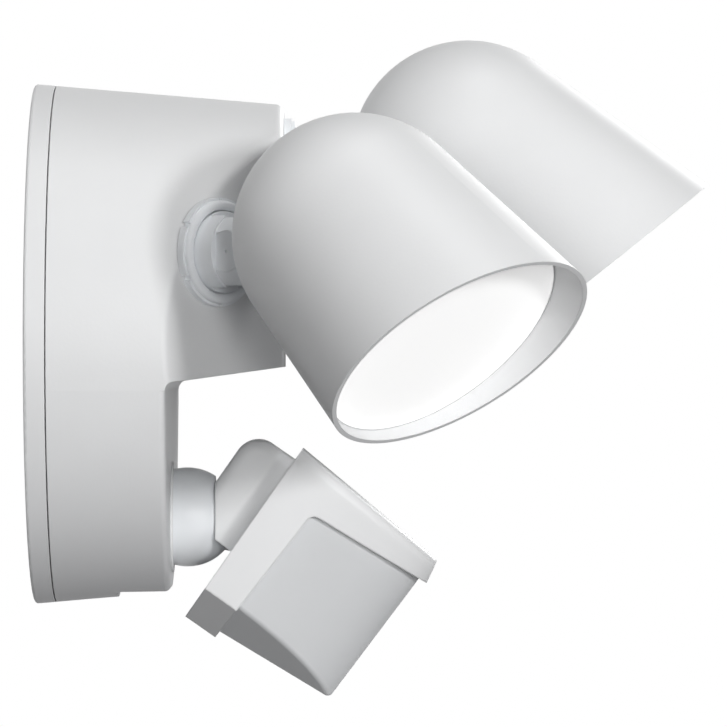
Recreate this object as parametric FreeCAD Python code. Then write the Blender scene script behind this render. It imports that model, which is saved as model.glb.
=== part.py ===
import FreeCAD, Part
import math
import os
from FreeCAD import Vector

# Motion sensor security light with three lamps and a ball-mounted sensor. Millimetres, +Z up.
# The wall is the plane y = 0 and the light stands out of it towards -Y. The origin is the
# centre of the back plate on the wall. Lamps and sensor are shown at their usual setting.

# Fits shared by the whole model
RUN_GAP = 0.05
SLIP_GAP = 0.3
SEAT_GAP = 0.1
BITE = 0.5

# Back plate and wall fixing
PLATE_RADIUS = 87.5
PLATE_DEPTH = 6.95
PLATE_WALL = 2.5
PLATE_WEB = 2.5
PLATE_EDGE_ROUND = 1.0
SPIGOT_DEPTH = 3.0
GASKET_WIDTH = 5.0
BAR_END = 7.5
BAR_WIDTH = 24.0
BAR_THICKNESS = 2.0
BOX_SLOT_SPACING = 88.9
BOX_SLOT_RADIUS = 2.4
BOX_SLOT_RUN = 5.0
BAR_CENTRE_HOLE = 9.5
BAR_CORNER_ROUND = 5.0
CANOPY_SCREW_SPACING = 60.0
CANOPY_SCREW_RADIUS = 2.0
CANOPY_HEAD_RADIUS = 4.0
CANOPY_HEAD_HEIGHT = 2.6
CANOPY_BOSS_RADIUS = 5.0
SCREW_EDGE_SHARE = 0.4
SCREW_RECESS_SHARE = 0.6
SCREW_RECESS_DEPTH_SHARE = 0.5
SCREW_RECESS_WIDTH = 0.7
GROUND_SCREW_X = 18.0
GROUND_SCREW_RADIUS = 1.9
GROUND_SCREW_HEAD = 3.2
WIRE_HOLE_RADIUS = 11.0
GROMMET_BORE_RADIUS = 8.0
GROMMET_FLANGE = 2.5
GROMMET_LIP = 1.5

# Housing shell
DRAFT_DEGREES = 4.8
HOUSING_WALL = 2.5
SEAM_GAP = 0.4
BLOCK_DEPTH = 83.7
LOWER_DEPTH = 45.8
BLOCK_UNDER_Z = -12.9
BLOCK_UNDER_RISE_DEGREES = 7.8
FACET_TURN_DEGREES = 42.0
FACET_DISTANCE = 90.1
EDGE_ROUND = 2.0
FACET_ROUND = 3.0
INNER_CORNER_ROUND = 3.0
FLAT_CUT_Z = -83.0
FLAT_START_DEPTH = 28.0
HOUSING_SCREW_INSET = 9.8
HOUSING_SCREW_RADIUS = 1.9
HOUSING_SCREW_HEAD = 3.6
HOUSING_SCREW_HEAD_HEIGHT = 1.2
HOUSING_SCREW_LENGTH = 3.8
HEAD_SINK = 1.3
TAB_WIDTH = 14.0
TAB_THICKNESS = 2.5

# Driver inside the housing
BOARD_X = 96.0
BOARD_Z = 58.0
BOARD_THICKNESS = 1.6
BOARD_STANDOFF = 8.0
BOARD_LIFT = 8.0
STANDOFF_RADIUS = 3.5
BOARD_SCREW_RADIUS = 1.4
BOARD_SCREW_HEAD = 2.8
BOARD_SCREW_HEAD_HEIGHT = 1.7
BOARD_SCREW_INSET = 5.0
# Moulded parts on the board: left, right, bottom and top from the board's corner, and height
DRIVER_BLOCKS = {
    "transformer": (14.0, 36.0, 14.0, 36.0, 16.0),
    "relay": (50.0, 66.0, 8.0, 20.0, 13.0),
    "terminals": (42.0, 72.0, 44.0, 53.0, 9.0),
    "first chip": (72.0, 79.0, 24.0, 31.0, 3.0),
    "second chip": (82.0, 89.0, 24.0, 31.0, 3.0),
}
CAPACITOR_PLACES = [(50.0, 34.0), (62.0, 34.0)]
CAPACITOR_RADIUS = 5.0
CAPACITOR_HEIGHT = 17.0

# Lamp stations: side lamps on the facets, middle lamp on the front face
SIDE_LAMP_X = 66.1
SIDE_LAMP_Z = 29.8
MIDDLE_LAMP_Z = 58.2
COLLAR_RADIUS = 17.8
COLLAR_HEIGHT = 4.3
COLLAR_SKIRT_HEIGHT = 2.6
COLLAR_STEP = 0.9
COLLAR_ROUND = 1.3
NOTCH_COUNT = 6
NOTCH_WIDTH = 1.8
NOTCH_DEPTH = 1.2
STUB_RADIUS = 13.4
FLANGE_RADIUS = 15.3
FLANGE_THICKNESS = 1.5
SHANK_RADIUS = 9.0
SHANK_BORE_RADIUS = 4.0
SHANK_LENGTH = 9.5
SEAL_WIDTH = 3.5
SEAL_SINK = 1.1
NUT_RADIUS = 12.5
NUT_HEIGHT = 4.0
HINGE_REACH = 15.5
CHEEK_ROOT = 4.5
CHEEK_RADIUS = 12.8
CHEEK_HALF_WIDTH = 11.2
CHEEK_THICKNESS = 4.8
HINGE_BOLT_RADIUS = 2.9
HINGE_HEAD_RADIUS = 4.6
HINGE_HEAD_HEIGHT = 2.2
HINGE_NUT_FLATS = 8.0
CAP_RADIUS = 6.6
CAP_THICKNESS = 1.3
CAP_DIMPLE_RADIUS = 0.45

# Lamp head: a dome that runs into a flaring skirt with a slanted mouth
DOME_RADIUS = 39.6
DOME_REACH = 46.7
NECK_RISE_DEGREES = 5.5
LAMP_PITCH_DEGREES = 41.0
FLARE_DEGREES = 5.4
SHADE_WALL = 1.6
MOUTH_DISTANCE = 58.3
MOUTH_SLANT_DEGREES = 10.5
LENS_DISTANCE = 48.6
LENS_SLANT_DEGREES = 3.5
LENS_THICKNESS = 3.0
LENS_SEAL_WIDTH = 0.5
POCKET_GAP = 0.7
POCKET_WALL = 2.0
TONGUE_BARREL_RADIUS = 10.8
TONGUE_BAR_HEIGHT = 17.0
SINK_START = 17.0
SINK_PLATE = 5.0
FIN_COUNT = 7
FIN_THICKNESS = 1.6
FIN_SPACING = 8.0
FIN_LENGTH = 20.0
FIN_CLEAR = 1.5
LED_BOARD_RADIUS = 29.0
LED_BOARD_THICKNESS = 1.6
LED_SIZE = 3.2
LED_HEIGHT = 0.7
LED_RING_RADIUS = 17.0
LED_COUNT = 8
REFLECTOR_WALL = 1.2
REFLECTOR_DEPTH = 14.0
REFLECTOR_SPREAD = 7.7

# Sensor ball joint in the lower front face
BALL_RADIUS = 16.7
BALL_WALL = 3.2
BALL_FORWARD = 5.4
BALL_Z = -58.3
BALL_OPENING_RADIUS = 11.0
SEAT_OUTER_RADIUS = 18.6
SEAT_NECK_RADIUS = 17.1
SEAT_RIM = 0.8
SEAT_DEPTH = 5.0
BOLT_RADIUS = 2.0
BOLT_BLOCK = 6.0
BOLT_TAIL = 1.0
GIMBAL_OUTER_RADIUS = 8.4
GIMBAL_WIDTH = 2.2
GIMBAL_THICKNESS = 3.4
GIMBAL_PIN_RADIUS = 0.9
BALL_LUG_RADIUS = 2.6
BALL_FLOOR = 2.0
BALL_OPENING_DEPTH = 6.7
SPRING_RADIUS = 4.2
SPRING_WIRE = 0.55
SPRING_TURNS = 4
SPRING_LENGTH = 7.0
BRIDGE_RADIUS = 19.2
BRIDGE_WALL = 2.0
BRIDGE_HEIGHT = 12.0
TENSION_NUT_RADIUS = 3.9
TENSION_NUT_HEIGHT = 3.0

# Sensor body, drawn level with the ball centre as its origin and then pitched down
SENSOR_PITCH_DEGREES = 35.0
NECK_SEAM = 9.4
NECK_RADIUS = 10.6
NECK_FLARE_RADIUS = 13.0
NECK_LENGTH = 13.0
NECK_SPIGOT_RADIUS = 7.0
NECK_SPIGOT_LENGTH = 4.0
NECK_SPIGOT_WALL = 2.0
COVER_HALF_WIDTH = 25.0
COVER_BACK = 18.5
COVER_BAND_DEPTH = 12.3
PLAN_CURVE_RUN = 6.0
COVER_TOP = 41.1
COVER_BOTTOM = -28.0
COVER_WALL = 2.2
VISOR_REACH = 78.6
VISOR_FRONT_TOP = 36.4
VISOR_UNDER_FRONT = 28.0
VISOR_UNDER_BACK = 25.3
VISOR_ROUND = 3.8
VISOR_LEAN = 1.5
WINDOW_LEAN = 2.8
WINDOW_ROUND = 3.0
TIP_CUT = 1.0
KEEL_RISE = 12.5
REAR_HALF_WIDTH = 14.6
REAR_FLARE_HALF_WIDTH = 20.0
REAR_FLARE_LENGTH = 5.0
REAR_FLARE_ROUND = 3.0
REAR_BACK = 1.0
REAR_TOP = 36.5
REAR_BOTTOM = -0.6
REAR_ROUND = 8.0
REAR_SIDE_ROUND = 4.0
REAR_WALL = 2.2
BACK_PANEL = 2.0
LENS_TIP = 75.6
LENS_TIP_BOTTOM = 73.8
LENS_BOTTOM_FRONT = -22.3
FRESNEL_WALL = 1.0
FRESNEL_FLANGE = 2.4
LENS_TUCK = 6.0
KEEL_ROUND = 2.0
SENSOR_BOARD_X = 30.0
SENSOR_BOARD_Z = 40.0
SENSOR_BOARD_BACK = 25.0
SENSOR_BOARD_LIFT = 4.0
SPACER_X = 12.5
SPACER_Z = -4.0
SPACER_RADIUS = 1.6
ELEMENT_RADIUS = 4.6
ELEMENT_HEIGHT = 4.4
KNOB_RADIUS = 4.0
KNOB_HEIGHT = 4.2
KNOB_SINK = 0.2
KNOB_SLOT = 1.0
KNOB_X = 10.5
KNOB_Z = -11.5
COVER_SCREW_X = 19.0
COVER_SCREW_Z = -5.0
COVER_SCREW_LENGTH = 6.0
COVER_BOSS_RADIUS = 3.0
COVER_SCREW_RADIUS = 1.3
COVER_SCREW_HEAD = 2.5
COVER_SCREW_HEAD_HEIGHT = 1.2

# Values worked out from the ones above
OUT = Vector(0, -1, 0)
IN = Vector(0, 1, 0)
RIGHT = Vector(1, 0, 0)
UP = Vector(0, 0, 1)
FAR = 200.0
SEAM_DEPTH = PLATE_DEPTH + SEAM_GAP
DRAFT = math.tan(math.radians(DRAFT_DEGREES))
WEB_BACK = PLATE_DEPTH - 0.25 - PLATE_WEB
WEB_FRONT = WEB_BACK + PLATE_WEB
BOARD_BACK = WEB_FRONT + BOARD_STANDOFF
KNUCKLE = Vector(0, -HINGE_REACH, 0)
NECK_RISE = math.radians(NECK_RISE_DEGREES)
NECK_OUT = DOME_REACH * math.cos(NECK_RISE)
NECK_UP = DOME_REACH * math.sin(NECK_RISE)
DOME_CENTRE = KNUCKLE + Vector(0, -NECK_OUT, NECK_UP)
BALL_CENTRE = Vector(0, -LOWER_DEPTH - BALL_FORWARD, BALL_Z)
LENS_PLAN_START = COVER_BACK + COVER_BAND_DEPTH
PLAN_STRAIGHT_END = LENS_PLAN_START - PLAN_CURVE_RUN
BAR_LENGTH = BOX_SLOT_SPACING + 2 * BAR_END
HOUSING_SCREW_DEPTH = LOWER_DEPTH - HOUSING_SCREW_INSET


def save(name, shape):
    shape.exportStep("parts/" + name + ".step")


def rod(radius, length, start, direction):
    return Part.makeCylinder(radius, length, start, direction)


def tube(outer, inner, length, start, direction):
    return rod(outer, length, start, direction).cut(rod(inner, length, start, direction))


def block(x0, x1, y0, y1, z0, z1):
    corner = Vector(min(x0, x1), min(y0, y1), min(z0, z1))
    return Part.makeBox(abs(x1 - x0), abs(y1 - y0), abs(z1 - z0), corner)


def side_prism(points, half_width):
    """Solid across X from an outline of (distance out, height) points."""
    corners = [Vector(-half_width, -out, height) for out, height in points]
    outline = Part.makePolygon(corners + [corners[0]])
    return Part.Face(outline).extrude(Vector(2 * half_width, 0, 0))


def hexagon_rod(across_flats, length, start, direction):
    corner = across_flats / math.sqrt(3)
    outline = Part.makePolygon([
        Vector(corner * math.cos(math.radians(60 * i)), corner * math.sin(math.radians(60 * i)), 0)
        for i in range(7)])
    solid = Part.Face(outline).extrude(Vector(0, 0, length))
    solid.Placement = FreeCAD.Placement(start, FreeCAD.Rotation(UP, direction))
    return solid


def group(shapes):
    return Part.makeCompound(shapes)


def rounded(shape, radius, chosen):
    """Round the chosen edges of a single solid."""
    solid = shape.Solids[0]
    return solid.makeFillet(radius, [edge for edge in solid.Edges if chosen(edge)])


# ---------------------------------------------------------------- housing

def drum_radius(depth):
    """Outer radius of the drum at a distance from the wall."""
    return PLATE_RADIUS - depth * DRAFT


def facet_side(inset, side):
    """Everything outside the slanted facet of one side: +1 right, -1 left."""
    slab = Part.makeBox(2 * FAR, FAR, 2 * FAR, Vector(-FAR, -FAR, -FAR))
    slab.translate(OUT * (FACET_DISTANCE - inset))
    slab.rotate(Vector(), UP, side * FACET_TURN_DEGREES)
    return slab


def drum(inset, depth):
    """Round body of the housing, pulled in by the inset and cut off at a depth."""
    start = SEAM_DEPTH if inset == 0 else 0.0
    end = depth - inset
    return Part.makeCone(drum_radius(start) - inset, drum_radius(end) - inset, end - start,
                         OUT * start, OUT)


def below_block(inset):
    """Everything under the upper block: its sloping underside runs round a hollow corner into
    the lower front face."""
    angle = math.radians(BLOCK_UNDER_RISE_DEGREES)
    lower = LOWER_DEPTH - inset
    radius = INNER_CORNER_ROUND + inset
    corner_run = radius * math.tan((math.pi / 2 - angle) / 2)
    corner = BLOCK_UNDER_Z + inset
    side = Vector(0, -lower, corner - corner_run)
    under = Vector(0, -lower - corner_run * math.cos(angle), corner + corner_run * math.sin(angle))
    centre = side - IN * radius
    turn = centre + (IN * math.cos(angle / 2 + math.pi / 4) + UP * math.sin(angle / 2 + math.pi / 4)) * radius
    front = Vector(0, -FAR, corner + (FAR - lower) * math.tan(angle))
    outline = [Part.Arc(side, turn, under).toShape(), Part.makeLine(under, front),
               Part.makeLine(front, Vector(0, -FAR, -FAR)),
               Part.makeLine(Vector(0, -FAR, -FAR), Vector(0, 0, -FAR)),
               Part.makeLine(Vector(0, 0, -FAR), Vector(0, 0, side.z)),
               Part.makeLine(Vector(0, 0, side.z), side)]
    prism = Part.Face(Part.Wire(outline)).extrude(RIGHT * (2 * FAR))
    prism.translate(RIGHT * -FAR)
    return prism


def faceted_drum(inset):
    """Full-depth drum with its two slanted facets."""
    form = drum(inset, BLOCK_DEPTH)
    for side in (-1, 1):
        form = form.cut(facet_side(inset, side))
    return form


def short_drum(inset):
    """Full round of the housing as far as the lower front face, with the flat under it."""
    flat = block(-FAR, FAR, -FLAT_START_DEPTH + inset, -FAR, FLAT_CUT_Z + inset, -FAR)
    return drum(inset, LOWER_DEPTH).cut(flat)


def housing_outside():
    upper = faceted_drum(0)
    upper = rounded(upper, FACET_ROUND, lambda edge: edge.BoundBox.YMin < -BLOCK_DEPTH + 0.01
                    and (edge.BoundBox.XLength > 1 or edge.BoundBox.YLength < 1))
    lower = rounded(short_drum(0), EDGE_ROUND, lambda edge: edge.BoundBox.YMax < -LOWER_DEPTH + 0.01)
    return upper.cut(below_block(0)).fuse(lower)


def housing_inside():
    upper = faceted_drum(HOUSING_WALL).cut(below_block(HOUSING_WALL))
    return upper.fuse(short_drum(HOUSING_WALL))


def make_housing():
    shell = housing_outside().cut(housing_inside())
    for station in STATIONS:
        hole = rod(SHANK_RADIUS + SLIP_GAP, 2 * FLANGE_RADIUS, IN * -FLANGE_RADIUS, IN)
        sink = rod(SHANK_RADIUS + SEAL_WIDTH, SEAL_SINK + BITE, OUT * BITE, IN)
        shell = shell.cut(at_station(hole.fuse(sink), station))
    socket = rod(SEAT_NECK_RADIUS, 3 * HOUSING_WALL, Vector(0, -LOWER_DEPTH - SEAT_RIM, BALL_Z), IN)
    shell = shell.cut(socket)
    seat = housing_screw_seat()
    shell = shell.cut(rod(HOUSING_SCREW_RADIUS + SLIP_GAP, 2 * HOUSING_WALL, seat, UP))
    return shell.cut(rod(HOUSING_SCREW_HEAD + SLIP_GAP, 2 * HOUSING_WALL, seat, UP * -1))


def housing_screw_seat():
    """Where the sunk head bears, inside the wall of the flat."""
    return Vector(0, -HOUSING_SCREW_DEPTH, FLAT_CUT_Z + HEAD_SINK)


def make_back_plate():
    cup = Part.makeCone(drum_radius(0), drum_radius(PLATE_DEPTH), PLATE_DEPTH, Vector(), OUT)
    cup = rounded(cup, PLATE_EDGE_ROUND, lambda edge: edge.BoundBox.YMin > -0.01)
    inner = drum_radius(PLATE_DEPTH) - PLATE_WALL
    cup = cup.cut(rod(inner, WEB_BACK, Vector(), OUT))
    spigot_outer = drum_radius(SEAM_DEPTH + SPIGOT_DEPTH) - HOUSING_WALL - SEAT_GAP
    spigot = tube(spigot_outer, spigot_outer - PLATE_WALL, SPIGOT_DEPTH + SEAM_GAP,
                  OUT * PLATE_DEPTH, OUT)
    cup = cup.cut(rod(spigot_outer - PLATE_WALL, FAR, OUT * WEB_FRONT, OUT))
    cup = cup.fuse(spigot)
    for x in (-CANOPY_SCREW_SPACING / 2, CANOPY_SCREW_SPACING / 2):
        boss = rod(CANOPY_BOSS_RADIUS, WEB_BACK - BAR_THICKNESS, Vector(x, -BAR_THICKNESS, 0), OUT)
        cup = cup.fuse(boss)
        cup = cup.cut(rod(CANOPY_SCREW_RADIUS + SLIP_GAP, FAR, Vector(x, 0, 0), OUT))
    for x, z in board_screw_places():
        post = rod(STANDOFF_RADIUS, BOARD_STANDOFF, Vector(x, -WEB_FRONT, z), OUT)
        cup = cup.fuse(post)
        cup = cup.cut(rod(BOARD_SCREW_RADIUS + RUN_GAP, BOARD_STANDOFF, Vector(x, -WEB_FRONT, z), OUT))
    cup = cup.cut(rod(WIRE_HOLE_RADIUS, FAR, Vector(), OUT))
    tab_top = FLAT_CUT_Z + HOUSING_WALL + SEAT_GAP + TAB_THICKNESS
    reach = HOUSING_SCREW_DEPTH + TAB_WIDTH / 2
    tab = block(-TAB_WIDTH / 2, TAB_WIDTH / 2, -WEB_FRONT + BITE, -reach, tab_top - TAB_THICKNESS, tab_top)
    bore = rod(HOUSING_SCREW_RADIUS + RUN_GAP, 4 * HOUSING_WALL, housing_screw_seat(), UP)
    return cup.fuse(tab).cut(bore).removeSplitter()


def make_gasket():
    outer = drum_radius(PLATE_DEPTH) - PLATE_WALL
    return tube(outer, outer - GASKET_WIDTH, WEB_BACK, Vector(), OUT)


def make_crossbar():
    bar = block(-BAR_LENGTH / 2, BAR_LENGTH / 2, 0, -BAR_THICKNESS, -BAR_WIDTH / 2, BAR_WIDTH / 2)
    bar = rounded(bar, BAR_CORNER_ROUND, lambda edge: edge.BoundBox.YLength > BAR_THICKNESS - 0.01
                  and edge.BoundBox.XLength < 0.01 and edge.BoundBox.ZLength < 0.01)
    bar = bar.cut(rod(BAR_CENTRE_HOLE, FAR, Vector(), OUT))
    for side in (-1, 1):
        middle = side * BOX_SLOT_SPACING / 2
        half = BOX_SLOT_RUN / 2
        slot = block(middle - half, middle + half, 0, -FAR, -BOX_SLOT_RADIUS, BOX_SLOT_RADIUS)
        for end in (-half, half):
            slot = slot.fuse(rod(BOX_SLOT_RADIUS, FAR, Vector(middle + end, 0, 0), OUT))
        bar = bar.cut(slot)
        screw_x = side * CANOPY_SCREW_SPACING / 2
        bar = bar.cut(rod(CANOPY_SCREW_RADIUS + RUN_GAP, FAR, Vector(screw_x, 0, 0), OUT))
    ground = Vector(GROUND_SCREW_X, 0, -BAR_WIDTH / 4)
    return bar.cut(rod(GROUND_SCREW_RADIUS + RUN_GAP, FAR, ground, OUT))


def pan_screw(radius, length, head_radius, head_height, start, direction):
    """Screw whose head seats on the start point and whose shank runs along the direction."""
    head = rod(head_radius, head_height, start, direction * -1)
    head = rounded(head, head_height * SCREW_EDGE_SHARE, lambda edge: abs(
        (edge.CenterOfMass - start).dot(direction) + head_height) < 0.01 and edge.Length > 1)
    arm = head_radius * SCREW_RECESS_SHARE
    half = SCREW_RECESS_WIDTH / 2
    floor = head_height * SCREW_RECESS_DEPTH_SHARE
    recess = block(-arm, arm, -half, half, -BITE, floor)
    recess = recess.fuse(block(-half, half, -arm, arm, -BITE, floor))
    recess.Placement = FreeCAD.Placement(start - direction * head_height, FreeCAD.Rotation(UP, direction))
    return head.cut(recess).fuse(rod(radius, length, start, direction)).removeSplitter()


def make_canopy_screws():
    length = WEB_FRONT
    return group([pan_screw(CANOPY_SCREW_RADIUS, length, CANOPY_HEAD_RADIUS, CANOPY_HEAD_HEIGHT,
                            Vector(side * CANOPY_SCREW_SPACING / 2, -WEB_FRONT, 0), IN)
                  for side in (-1, 1)])


def make_ground_screw():
    start = Vector(GROUND_SCREW_X, -BAR_THICKNESS, -BAR_WIDTH / 4)
    head_height = WEB_BACK - BAR_THICKNESS - SEAT_GAP
    return pan_screw(GROUND_SCREW_RADIUS, BAR_THICKNESS, GROUND_SCREW_HEAD, head_height, start, IN)


def make_grommet():
    neck = rod(WIRE_HOLE_RADIUS, PLATE_WEB, OUT * WEB_BACK, OUT)
    front = rod(WIRE_HOLE_RADIUS + GROMMET_FLANGE, GROMMET_LIP, OUT * WEB_FRONT, OUT)
    back = rod(WIRE_HOLE_RADIUS + GROMMET_FLANGE, GROMMET_LIP, OUT * (WEB_BACK - GROMMET_LIP), OUT)
    bore = rod(GROMMET_BORE_RADIUS, FAR, Vector(), OUT)
    return neck.fuse(front).fuse(back).cut(bore).removeSplitter()


def make_housing_screw():
    return pan_screw(HOUSING_SCREW_RADIUS, HOUSING_SCREW_LENGTH, HOUSING_SCREW_HEAD,
                     HOUSING_SCREW_HEAD_HEIGHT, housing_screw_seat(), UP)


# ---------------------------------------------------------------- driver

def board_screw_places():
    x = BOARD_X / 2 - BOARD_SCREW_INSET
    z = BOARD_Z / 2 - BOARD_SCREW_INSET
    return [(sx * x, BOARD_LIFT + sz * z) for sx in (-1, 1) for sz in (-1, 1)]


def make_driver_board():
    board = block(-BOARD_X / 2, BOARD_X / 2, -BOARD_BACK, -BOARD_BACK - BOARD_THICKNESS,
                  BOARD_LIFT - BOARD_Z / 2, BOARD_LIFT + BOARD_Z / 2)
    for x, z in board_screw_places():
        board = board.cut(rod(BOARD_SCREW_RADIUS + SLIP_GAP, FAR, Vector(x, 0, z), OUT))
    return board


def make_driver_parts():
    face = -BOARD_BACK - BOARD_THICKNESS
    edge = -BOARD_X / 2
    low = BOARD_LIFT - BOARD_Z / 2
    parts = []
    for left, right, bottom, top, height in DRIVER_BLOCKS.values():
        parts.append(block(edge + left, edge + right, face, face - height, low + bottom, low + top))
    for x, z in CAPACITOR_PLACES:
        parts.append(rod(CAPACITOR_RADIUS, CAPACITOR_HEIGHT, Vector(edge + x, face, low + z), OUT))
    return group(parts)


def make_board_screws():
    start = -BOARD_BACK - BOARD_THICKNESS
    return group([pan_screw(BOARD_SCREW_RADIUS, BOARD_STANDOFF, BOARD_SCREW_HEAD,
                            BOARD_SCREW_HEAD_HEIGHT, Vector(x, start, z), IN)
                  for x, z in board_screw_places()])


# ---------------------------------------------------------------- lamp stations

def facet_point(side):
    """Collar centre of a side lamp, on its facet."""
    turn = math.radians(FACET_TURN_DEGREES)
    y = -(FACET_DISTANCE - SIDE_LAMP_X * math.sin(turn)) / math.cos(turn)
    return Vector(side * SIDE_LAMP_X, y, SIDE_LAMP_Z)


STATIONS = {
    "left": (facet_point(-1), -FACET_TURN_DEGREES),
    "middle": (Vector(0, -BLOCK_DEPTH, MIDDLE_LAMP_Z), 0.0),
    "right": (facet_point(1), FACET_TURN_DEGREES),
}


def at_station(shape, station):
    """Move a piece drawn at the origin, facing out, to its lamp's place."""
    point, turn = STATIONS[station]
    placed = shape.copy()
    placed.rotate(Vector(), UP, turn)
    placed.translate(point)
    return placed


def make_collar():
    ring = rod(COLLAR_RADIUS - COLLAR_STEP, COLLAR_HEIGHT, Vector(), OUT)
    ring = ring.cut(rod(STUB_RADIUS + SLIP_GAP, COLLAR_HEIGHT, Vector(), OUT))
    ring = rounded(ring, COLLAR_ROUND, lambda edge: edge.BoundBox.YMax < -COLLAR_HEIGHT + 0.01
                   and edge.Length > COLLAR_RADIUS)
    ring = ring.fuse(tube(COLLAR_RADIUS, FLANGE_RADIUS + SLIP_GAP, COLLAR_SKIRT_HEIGHT, Vector(), OUT))
    ring = ring.cut(rod(FLANGE_RADIUS + SLIP_GAP, FLANGE_THICKNESS + 2 * SLIP_GAP, Vector(), OUT))
    for i in range(NOTCH_COUNT):
        notch = block(-NOTCH_WIDTH / 2, NOTCH_WIDTH / 2, 0, -COLLAR_SKIRT_HEIGHT,
                      COLLAR_RADIUS - NOTCH_DEPTH, COLLAR_RADIUS + BITE)
        notch.rotate(Vector(), IN, 360.0 * i / NOTCH_COUNT)
        ring = ring.cut(notch)
    return ring


def make_swivel_seal():
    return tube(SHANK_RADIUS + SEAL_WIDTH, SHANK_RADIUS + SEAT_GAP, SEAL_SINK + SLIP_GAP - RUN_GAP,
                IN * SEAL_SINK, OUT)


def make_arm():
    flange_back = SLIP_GAP
    flange = rod(FLANGE_RADIUS, FLANGE_THICKNESS, OUT * flange_back, OUT)
    shank = rod(SHANK_RADIUS, SHANK_LENGTH + flange_back, OUT * flange_back, IN)
    body_end = HINGE_REACH - CHEEK_ROOT
    body = rod(STUB_RADIUS, body_end - flange_back, OUT * flange_back, OUT)
    cheeks = rod(CHEEK_RADIUS, 2 * CHEEK_HALF_WIDTH, KNUCKLE - RIGHT * CHEEK_HALF_WIDTH, RIGHT)
    cheeks = cheeks.fuse(block(-CHEEK_HALF_WIDTH, CHEEK_HALF_WIDTH, -body_end + BITE, KNUCKLE.y,
                               -CHEEK_RADIUS, CHEEK_RADIUS))
    limit = rod(CHEEK_RADIUS, HINGE_REACH + CHEEK_RADIUS, Vector(), OUT)
    cheeks = cheeks.common(limit)
    arm = body.fuse(cheeks).fuse(flange).fuse(shank)
    slot_half = CHEEK_HALF_WIDTH - CHEEK_THICKNESS
    slot_back = HINGE_REACH - TONGUE_BARREL_RADIUS - SLIP_GAP
    slot = block(-slot_half, slot_half, -slot_back, -FAR, -FAR, FAR)
    arm = arm.cut(slot)
    arm = arm.cut(rod(HINGE_BOLT_RADIUS + RUN_GAP, 4 * CHEEK_HALF_WIDTH,
                      KNUCKLE - RIGHT * 2 * CHEEK_HALF_WIDTH, RIGHT))
    cap_well = rod(CAP_RADIUS + SEAT_GAP, CAP_THICKNESS, KNUCKLE - RIGHT * CHEEK_HALF_WIDTH, RIGHT)
    head_well = rod(HINGE_HEAD_RADIUS + SEAT_GAP, CAP_THICKNESS + HINGE_HEAD_HEIGHT,
                    KNUCKLE - RIGHT * CHEEK_HALF_WIDTH, RIGHT)
    nut_well = hexagon_rod(HINGE_NUT_FLATS + 2 * SEAT_GAP, HINGE_HEAD_HEIGHT + CAP_THICKNESS,
                           KNUCKLE + RIGHT * CHEEK_HALF_WIDTH, RIGHT * -1)
    bore = rod(SHANK_BORE_RADIUS, FAR, OUT * (slot_back + BITE), IN)
    return arm.cut(cap_well).cut(head_well).cut(nut_well).cut(bore).removeSplitter()


def make_swivel_nut():
    start = IN * (HOUSING_WALL + 2 * SLIP_GAP)
    nut = hexagon_rod(2 * NUT_RADIUS * math.cos(math.radians(30)), NUT_HEIGHT, start, IN)
    return nut.cut(rod(SHANK_RADIUS + RUN_GAP, FAR, Vector(), IN))


def make_hinge_bolt():
    head = KNUCKLE - RIGHT * (CHEEK_HALF_WIDTH - CAP_THICKNESS - SEAT_GAP)
    shank_length = 2 * (CHEEK_HALF_WIDTH - CAP_THICKNESS - SEAT_GAP)
    bolt = rod(HINGE_HEAD_RADIUS, HINGE_HEAD_HEIGHT - SEAT_GAP, head, RIGHT)
    return bolt.fuse(rod(HINGE_BOLT_RADIUS, shank_length, head, RIGHT)).removeSplitter()


def make_bolt_cap():
    start = KNUCKLE - RIGHT * CHEEK_HALF_WIDTH
    cap = rod(CAP_RADIUS, CAP_THICKNESS, start, RIGHT)
    return cap.cut(rod(CAP_DIMPLE_RADIUS, CAP_THICKNESS / 2, start, RIGHT))


def make_hinge_nut():
    start = KNUCKLE + RIGHT * (CHEEK_HALF_WIDTH - CAP_THICKNESS)
    nut = hexagon_rod(HINGE_NUT_FLATS, HINGE_HEAD_HEIGHT - SEAT_GAP, start, RIGHT * -1)
    return nut.cut(rod(HINGE_BOLT_RADIUS + RUN_GAP, FAR, start + RIGHT * BITE, RIGHT * -1))


def at_all_stations(shape):
    return group([at_station(shape, station) for station in STATIONS])


# ---------------------------------------------------------------- lamp head

def shade_form(inset, reach):
    """Solid dome and flaring skirt about the lamp axis, which runs along -Y from the dome centre."""
    flare = math.radians(FLARE_DEGREES)
    radius = DOME_RADIUS - inset
    tangent = Vector(0, radius * math.sin(flare), radius * math.cos(flare))
    mid_angle = (math.pi / 2 + flare) / 2
    back = Vector(0, radius, 0)
    middle = Vector(0, radius * math.cos(mid_angle), radius * math.sin(mid_angle))
    middle = middle * (radius / middle.Length)
    mouth_radius = radius / math.cos(flare) + reach * math.tan(flare)
    mouth = Vector(0, -reach, mouth_radius)
    centre = Vector(0, -reach, 0)
    dome = Part.Arc(back, middle, tangent).toShape()
    skirt = Part.makeLine(tangent, mouth)
    front = Part.makeLine(mouth, centre)
    axis = Part.makeLine(centre, back)
    return Part.Face(Part.Wire([dome, skirt, front, axis])).revolve(Vector(), IN, 360)


def beyond_plane(distance, slant_degrees):
    """Everything beyond a slanted plane across the lamp axis; the plane leans out at the top."""
    lean = FAR * math.tan(math.radians(slant_degrees))
    return side_prism([(distance + lean, FAR), (3 * FAR, FAR), (3 * FAR, -FAR), (distance - lean, -FAR)],
                      FAR)


def slanted_slice(form, distance, slant_degrees, thickness):
    """Part of a form between a slanted plane and a parallel one further in."""
    kept = form.common(beyond_plane(distance - thickness, slant_degrees))
    return kept.cut(beyond_plane(distance, slant_degrees))


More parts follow.
